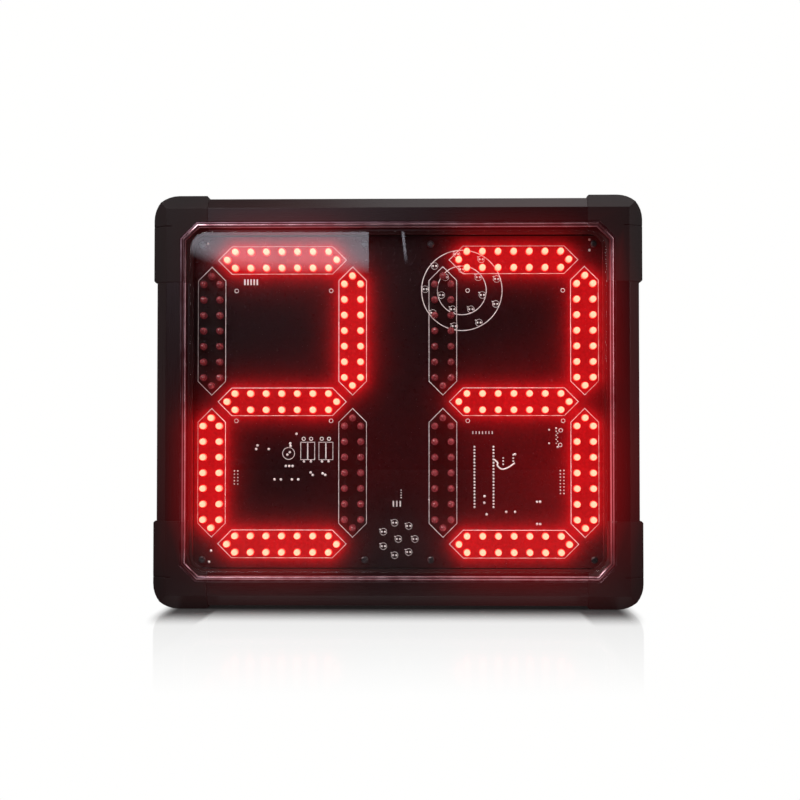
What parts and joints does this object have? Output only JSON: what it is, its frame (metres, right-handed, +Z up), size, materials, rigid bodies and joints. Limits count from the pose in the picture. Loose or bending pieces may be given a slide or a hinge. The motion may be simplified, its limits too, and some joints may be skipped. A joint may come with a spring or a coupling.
{
  "type": "shot clock",
  "caption": "Shot clock with two LED digits behind a clear window, in an aluminium frame with moulded corner caps, with a rear mains inlet, switch and fuse.",
  "frame": {"origin": "centre of the bounding box at the bottom of the lower corner caps", "axes": "+X to the right seen from the front, +Y from the front to the rear panel, +Z up"},
  "size_m": [0.39, 0.075, 0.33],
  "materials": {
    "anodised_aluminium": "black anodised extrusion, satin",
    "cap_plastic": "fine moulded texture",
    "window_acrylic": "polished clear acrylic",
    "seal_foam": "closed-cell foam tape",
    "circuit_board": "black solder mask with white legend",
    "zinc_plate": "bright zinc plate",
    "screw_steel": "nickel-plated steel",
    "component_plastic": "moulded component body",
    "capacitor_sleeve": "shrink sleeve",
    "receiver_board": "green solder mask",
    "horn_plastic": "moulded",
    "lead_sheath": "extruded sheath",
    "panel_paint": "fine-textured powder coat",
    "inlet_plastic": "moulded",
    "pin_brass": "nickel-plated brass",
    "rocker_plastic": "polished moulding",
    "fuse_glass": "clear tube with plated caps"
  },
  "bodies": {
    "housing": {"board_screw_1": "screw_steel", "board_screw_2": "screw_steel", "board_screw_3": "screw_steel", "board_screw_4": "screw_steel", "board_screw_5": "screw_steel", "board_screw_6": "screw_steel", "board_screw_7": "screw_steel", "board_screw_8": "screw_steel", "board_standoff_1": "zinc_plate", "board_standoff_2": "zinc_plate", "board_standoff_3": "zinc_plate", "board_standoff_4": "zinc_plate", "board_standoff_5": "zinc_plate", "board_standoff_6": "zinc_plate", "board_standoff_7": "zinc_plate", "board_standoff_8": "zinc_plate", "controller_chip": "component_plastic", "controller_socket": "component_plastic", "corner_cap_bottom_left": "cap_plastic", "corner_cap_bottom_right": "cap_plastic", "corner_cap_top_left": "cap_plastic", "corner_cap_top_right": "cap_plastic", "frame_rail_bottom": "anodised_aluminium", "frame_rail_left": "anodised_aluminium", "frame_rail_right": "anodised_aluminium", "frame_rail_top": "anodised_aluminium", "front_window": "window_acrylic", "horn": "horn_plastic", "inlet_body": "inlet_plastic", "inlet_pin_earth": "pin_brass", "inlet_pin_live": "pin_brass", "inlet_pin_neutral": "pin_brass", "inlet_screw_1": "screw_steel", "inlet_screw_2": "screw_steel", "led_board": "circuit_board", "mains_lead": "lead_sheath", "output_relay_1": "component_plastic", "output_relay_2": "component_plastic", "power_connector": "component_plastic", "power_supply": "zinc_plate", "rear_panel": "panel_paint", "rear_panel_screw_1": "screw_steel", "rear_panel_screw_2": "screw_steel", "rear_panel_screw_3": "screw_steel", "rear_panel_screw_4": "screw_steel", "rear_panel_screw_5": "screw_steel", "rear_panel_screw_6": "screw_steel", "rear_panel_screw_7": "screw_steel", "rear_panel_screw_8": "screw_steel", "receiver_header": "component_plastic", "receiver_module": "receiver_board", "reservoir_capacitor": "capacitor_sleeve", "ribbon_header_left": "component_plastic", "ribbon_header_right": "component_plastic", "supply_lead": "lead_sheath", "supply_terminals": "component_plastic", "window_seal": "seal_foam"},
    "rocker": {"power_rocker": "rocker_plastic"},
    "drawer": {"fuse_drawer": "inlet_plastic", "fuse": "fuse_glass"}
  },
  "joints": [
    {"name": "rocker_pivot", "type": "hinge", "parent": "housing", "child": "rocker", "pos_m": [-0.112, 0.0287, 0.10205], "axis": [0, 0, 1], "range_deg": [-16, 0]},
    {"name": "drawer_slide", "type": "slide", "parent": "housing", "child": "drawer", "axis": [0, 1, 0], "range_m": [0, 0.018]}
  ]
}
